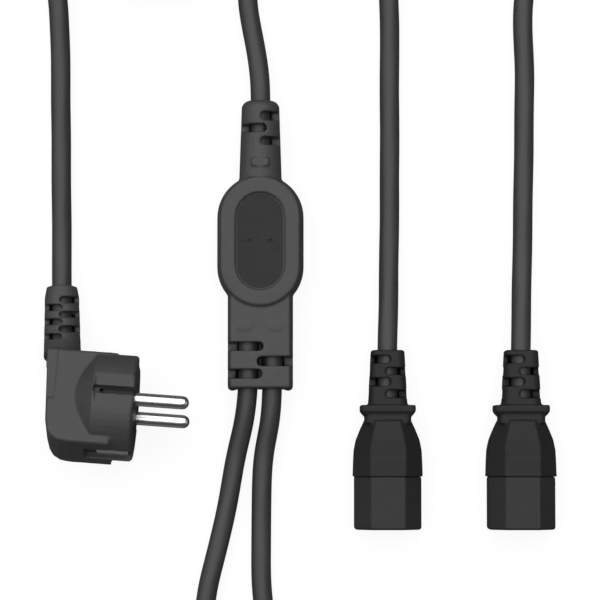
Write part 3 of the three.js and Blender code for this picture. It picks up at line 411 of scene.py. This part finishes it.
# %% [markdown]
# Patterns are written as formulas. A Socket is one output of a node, and adding or multiplying it makes
# the node for that sum. Any other kind of node comes from its method node.

# %% Formulas for shaders
class Socket:
    """An output of a shader node that can stand in formulas."""

    def __init__(self, tree, output):
        self.tree = tree
        self.output = output

    def node(self, kind, settings=None, inputs=None, output=0):
        """Makes a node of that kind, with its settings and inputs, and returns one of its outputs."""
        made = self.tree.nodes.new("ShaderNode" + kind)
        for key, value in (settings or {}).items():
            setattr(made, key, value)
        for key, value in (inputs or {}).items():
            if isinstance(value, Socket):
                self.tree.links.new(value.output, made.inputs[key])
            else:
                made.inputs[key].default_value = value
        return Socket(self.tree, made.outputs[output])

    def maths(self, operation, *others):
        """This value first, and the others after it, in a Math node."""
        return self.node("Math", {"operation": operation}, dict(enumerate((self, *others))))

    def after(self, operation, first):
        """Another value first, and this one after it."""
        return self.node("Math", {"operation": operation}, {0: first, 1: self})

    def __add__(self, other):
        return self.maths("ADD", other)

    def __radd__(self, other):
        return self.after("ADD", other)

    def __sub__(self, other):
        return self.maths("SUBTRACT", other)

    def __rsub__(self, other):
        return self.after("SUBTRACT", other)

    def __mul__(self, other):
        return self.maths("MULTIPLY", other)

    def __truediv__(self, other):
        return self.maths("DIVIDE", other)

    def absolute(self):
        return self.maths("ABSOLUTE")

    def below(self, edge, soft):
        """1 where the value is under the edge, falling to 0 over the soft width."""
        return self.node(
            "MapRange",
            {"interpolation_type": "SMOOTHSTEP"},
            {"Value": self, "From Min": edge - soft, "From Max": edge + soft, "To Min": 1, "To Max": 0},
        )

    def noise(self, scale, detail=2, roughness=0.5):
        """Noise at this place, with so many lumps a metre."""
        return self.node(
            "TexNoise", None, {"Vector": self, "Scale": scale, "Detail": detail, "Roughness": roughness}
        )

    def blend(self, low, high):
        """A colour between two, by this value."""
        return self.node(
            "Mix",
            {"data_type": "RGBA"},
            {"Factor": self, 6: (*low, 1), 7: (*high, 1)},
            output=2,
        )

    def bump(self, depth, normal=None):
        """A normal for a height of this value times depth, in mm."""
        inputs = {"Height": self, "Distance": depth * MM, "Strength": 1}
        if normal:
            inputs["Normal"] = normal
        return self.node("Bump", None, inputs)


class Finish:
    """A Principled material: constants are set on the shader, and a few inputs take formulas."""

    def __init__(self, name, constants):
        self.material = bpy.data.materials.new(name)
        self.material.use_nodes = True
        tree = self.material.node_tree
        self.shader = tree.nodes["Principled BSDF"]
        for key, value in constants.items():
            self.shader.inputs[key].default_value = value
        self.place = Socket(tree, tree.nodes.new("ShaderNodeTexCoord").outputs["Object"])
        self.x = self.place.node("SeparateXYZ", None, {"Vector": self.place}, "X")
        self.y = self.place.node("SeparateXYZ", None, {"Vector": self.place}, "Y")
        self.z = self.place.node("SeparateXYZ", None, {"Vector": self.place}, "Z")

    def drive(self, **inputs):
        for key, value in inputs.items():
            target = self.shader.inputs[key.replace("_", " ")]
            self.place.tree.links.new(value.output, target)


# %% [markdown]
# The moulded PVC is nearly black. Spark-eroded moulds leave an even fine grain on it, which breaks up
# the light and makes the plastic look grey, and here and there it is a little smoother from handling.
# The two halves of the mould meet in a hair line at mid height. Noise gives the grain, because it follows
# every curve of a piece with no seam, and a bump is enough for it: at this distance no outline shows it.

# %% Moulded PVC
GRAIN_DEEP = 0.05  # mm
SEAM_DEEP = 0.05
SEAM_HALF_W = 0.12
SEAM_SOFT = 0.06


def moulded_pvc(name, tone, seam_z, gloss):
    """Grained PVC with the mould's line at the height seam_z in mm, and the normal of both."""
    finish = Finish(name, {"Specular IOR Level": gloss})
    clouds = finish.place.noise(120, 3)
    grains = finish.place.noise(2400, 3, 0.6)
    finish.drive(
        Base_Color=(clouds * 0.6 + grains * 0.4).blend(
            [t * 0.75 for t in tone], [t * 1.25 for t in tone]
        ),
        Roughness=0.42 + clouds * 0.12 + grains * 0.1,
    )
    seam = (finish.z - seam_z * MM).absolute().below(SEAM_HALF_W * MM, SEAM_SOFT * MM)
    return finish, grains.bump(GRAIN_DEEP, seam.bump(SEAM_DEEP))


GREY_BLACK = (0.052, 0.053, 0.055)
DEEP_BLACK = (0.017, 0.0172, 0.018)
SPLITTER_SEAM = 8.25
CONNECTOR_SEAM = 8.65
NO_SEAM = -10  # below the table: the plug lies rolled, so a level line isn't its seam

plug_pvc, plug_normal = moulded_pvc("plug_pvc", GREY_BLACK, NO_SEAM, 0.45)
plug_pvc.drive(Normal=plug_normal)
connector_pvc, connector_normal = moulded_pvc("connector_pvc", DEEP_BLACK, CONNECTOR_SEAM, 0.25)
connector_pvc.drive(Normal=connector_normal)
print("moulded", plug_pvc.material.name, connector_pvc.material.name)

# %% [markdown]
# The splitter's material is the same, and adds the floor of its oval recess. That floor is darker and
# covered with tiny pyramids, which two crossing families of lines cut, as knurling does. A formula for
# the distance from the recess's middle line says where the floor is. Modelled pyramids would take tens
# of thousands of faces, so only the light on the floor is bent as they would bend it.
# The shade in the two small dents on the floor is painted: the colour is darkened there.

# %% Splitter with its knurled recess
RECESS_Y = 1.3
RECESS_W = 17.7
RECESS_L = 35
RECESS_FLOOR = 15.5  # height above the table
WALL_FOOT = 0.6  # the rounding between the floor and its wall
DENT_X = 3.7  # two small dents on the floor, to the left and the right of its middle
DENT_R = 0.8
KNURL = 1.1  # mm from one pyramid to the next
KNURL_DEEP = 0.14

splitter_pvc, splitter_normal = moulded_pvc("splitter_pvc", GREY_BLACK, SPLITTER_SEAM, 0.45)
straight = (RECESS_L - RECESS_W) / 2
past = ((splitter_pvc.y - RECESS_Y * MM).absolute() - straight * MM).maths("MAXIMUM", 0)
from_middle = (splitter_pvc.x * splitter_pvc.x + past * past).maths("SQRT")
on_floor = from_middle.below((RECESS_W / 2 - WALL_FOOT) * MM, 0.2 * MM)
at_height = (splitter_pvc.z - RECESS_FLOOR * MM).absolute().below(0.3 * MM, 0.1 * MM)
floor_here = on_floor * at_height


def zigzag(value):
    """Runs from 0 on the cut line to 1 midway to the next."""
    return value.maths("PINGPONG", 0.5) * 2


rising = zigzag((splitter_pvc.x + splitter_pvc.y) / (KNURL * MM))
falling = zigzag((splitter_pvc.x - splitter_pvc.y) / (KNURL * MM))
pyramids = rising.maths("MINIMUM", falling) * floor_here
splitter_clouds = splitter_pvc.place.noise(300, 3)
from_dent_x = splitter_pvc.x.absolute() - DENT_X * MM
from_dent_y = splitter_pvc.y - RECESS_Y * MM
from_dent = (from_dent_x * from_dent_x + from_dent_y * from_dent_y).maths("SQRT")
# Painted shade: the base colour is darkened in the two dents on the floor.
dent_painted_shade = from_dent.below(DENT_R * MM, 0.25 * MM) * at_height
shade = (splitter_clouds * 0.25 + 0.75) * (1 - floor_here * 0.75) * (1 - dent_painted_shade * 0.9)
splitter_pvc.drive(
    Base_Color=shade.blend((0, 0, 0), [t * 1.15 for t in GREY_BLACK]),
    Normal=pyramids.bump(KNURL_DEEP, splitter_normal),
)
print("pyramids", KNURL, "mm apart")

# %% [markdown]
# The cord's jacket is extruded, so it is smoother than the moulded pieces and faint lines run along it.
# The pattern follows the cord through its UV map: noise that is stretched along the cord gives the lines.

# %% Jacket of the cords
jacket = Finish("jacket", {"Specular IOR Level": 0.5})
along = jacket.place.node("UVMap", {"uv_map": "along"})
drawn = along.node("Mapping", None, {"Vector": along, "Scale": (1, 0.02, 1)})
lines = drawn.noise(3000, 2)
matt = jacket.place.noise(1800, 3, 0.6)
jacket.drive(
    Base_Color=(matt * 0.5 + lines * 0.5).blend((0.03, 0.0305, 0.031), (0.045, 0.0455, 0.047)),
    Roughness=0.36 + lines * 0.1 + matt * 0.08,
    Normal=matt.bump(0.012, lines.bump(0.02)),
)
print("jacket", jacket.material.name)

# %% [markdown]
# The pins are nickel-plated and drawn lengthways. The other metals and the cores' insulation are inside,
# so a plain finish with some unevenness is enough for them. The earth core is green with a yellow stripe.
# The lines on the metal are noise that is stretched along x, the direction in which a wire is drawn.

# %% Metals, insert plastic and cores
def drawn_metal(name, low, high, rough):
    """Metal with fine lines along x."""
    finish = Finish(name, {"Metallic": 1})
    stretched = finish.place.node("Mapping", None, {"Vector": finish.place, "Scale": (0.04, 1, 1)})
    scratches = stretched.noise(9000, 2)
    wear = finish.place.noise(350, 3)
    finish.drive(
        Base_Color=(wear * 0.6 + scratches * 0.4).blend(low, high),
        Roughness=rough + wear * 0.08 + scratches * 0.08,
        Normal=scratches.bump(0.004),
    )
    return finish


def plain_plastic(name, low, high, rough, gloss=0.5):
    """Smooth plastic with a faint unevenness."""
    finish = Finish(name, {"Specular IOR Level": gloss})
    fine = finish.place.noise(2000, 3)
    finish.drive(
        Base_Color=finish.place.noise(200, 2).blend(low, high),
        Roughness=rough + fine * 0.12,
        Normal=fine.bump(0.01),
    )
    return finish


insert_plastic = plain_plastic(
    "insert_plastic", (0.02, 0.0203, 0.021), (0.027, 0.0274, 0.028), 0.45, gloss=0.28
)
tie_plastic = plain_plastic("tie_plastic", (0.018, 0.018, 0.019), (0.028, 0.028, 0.03), 0.4)
nickel = drawn_metal("nickel", (0.84, 0.83, 0.82), (0.95, 0.94, 0.93), 0.12)
brass = drawn_metal("brass", (0.6, 0.45, 0.2), (0.75, 0.6, 0.32), 0.28)
brown = plain_plastic("brown_core", (0.09, 0.03, 0.012), (0.12, 0.042, 0.018), 0.4)
blue = plain_plastic("blue_core", (0.01, 0.05, 0.22), (0.015, 0.07, 0.3), 0.4)
earth = plain_plastic("earth_core", (0.05, 0.2, 0.02), (0.07, 0.26, 0.03), 0.4)
stripe = (earth.z / (0.9 * MM)).maths("PINGPONG", 1).below(0.4, 0.05)
earth.drive(Base_Color=stripe.blend((0.06, 0.23, 0.025), (0.65, 0.5, 0.03)))
print("materials", len(bpy.data.materials))

# %% [markdown]
# Each piece takes the finish of the record's material slot, and the moulded housings their own one. A
# finish could be set where each piece is made, but one list shows at a glance what is made of what.

# %% Dress the pieces
by_slot = {
    "black_pvc": plug_pvc,
    "hard_pvc": insert_plastic,
    "cord_pvc": jacket,
    "tie_pvc": tie_plastic,
    "nickel": nickel,
    "brass_contact": brass,
    "core_live": brown,
    "core_neutral": blue,
    "core_earth": earth,
}
own_finish = {
    "splitter_housing": splitter_pvc,
    "connector_1_housing": connector_pvc,
    "connector_2_housing": connector_pvc,
}
slot_of = {part["node"]: part["material_slot"] for part in frame["record"]["subparts"]}


def dress(obj, finish):
    """Makes this finish the only one on the object."""
    obj.data.materials.clear()
    obj.data.materials.append(finish.material)


for name, node in nodes.items():
    finish = own_finish.get(name, by_slot[slot_of[name]])
    dress(node, finish)
    if name in skins:
        dress(skins[name], finish)
for cord in (main_cord, *branch_cords):
    dress(cord, jacket)
print("dressed", len(nodes), "pieces")

# %% [markdown]
# In the photograph the lead floats on pure white, its middle is lit from above and its edges are dark.
# So the sky is dark grey for the plastic and white only for the camera, and a wide soft sun stands
# almost overhead. The table is a white sheet that keeps the faint shadow under the lead. It reflects
# little of the light upwards, because most of its white comes from what the camera alone sees. A picture
# of a studio could light it too, but three suns with plain numbers are easier to set.

# %% Table, sky and lamps
FLOOR_SIZE = 6  # metres
SHEET_TONE = 0.14  # how much of the lamps' light the sheet gives back
SHEET_GLOW = 0.89  # what the camera sees besides
SKY_GREY = 0.06  # what the plastic sees of the sky

floor_bm = bmesh.new()
bmesh.ops.create_grid(floor_bm, x_segments=1, y_segments=1, size=FLOOR_SIZE)
floor_mesh = bpy.data.meshes.new("floor")
floor_bm.to_mesh(floor_mesh)
floor_bm.free()
floor = bpy.data.objects.new("floor", floor_mesh)
bpy.context.scene.collection.objects.link(floor)
sheet = Finish("sheet", {"Roughness": 0.9, "Specular IOR Level": 0, "Emission Strength": 1})
camera_sees = sheet.place.node("LightPath", output="Is Camera Ray")
sheet.drive(
    Base_Color=(sheet.place.noise(60) * 0.02 + SHEET_TONE).blend((0, 0, 0), (1, 1, 1)),
    Emission_Color=(camera_sees * SHEET_GLOW).blend((0, 0, 0), (1, 1, 1)),
)
dress(floor, sheet)

world = bpy.data.worlds.new("studio")
bpy.context.scene.world = world
world.use_nodes = True
sky = world.node_tree.nodes["Background"]
only_camera = Socket(world.node_tree, None).node("LightPath", output="Is Camera Ray")
sky_tone = (only_camera * (1 - SKY_GREY) + SKY_GREY).blend((0, 0, 0), (1, 1, 1))
world.node_tree.links.new(sky_tone.output, sky.inputs["Color"])


def sun(name, azimuth, height, strength, spread):
    """A sun that shines from that azimuth, counted from behind towards the right, at that height."""
    data = bpy.data.lights.new(name, "SUN")
    data.energy = strength
    data.angle = math.radians(spread)
    lamp = bpy.data.objects.new(name, data)
    bpy.context.scene.collection.objects.link(lamp)
    lamp.rotation_euler = (math.radians(90 - height), 0, math.radians(180 - azimuth))
    return lamp


sun("overhead", -12, 70, 2.6, 92)
sun("left", -85, 25, 0.4, 50)
sun("right", 95, 25, 0.15, 50)
print("lights", len(bpy.data.lights))
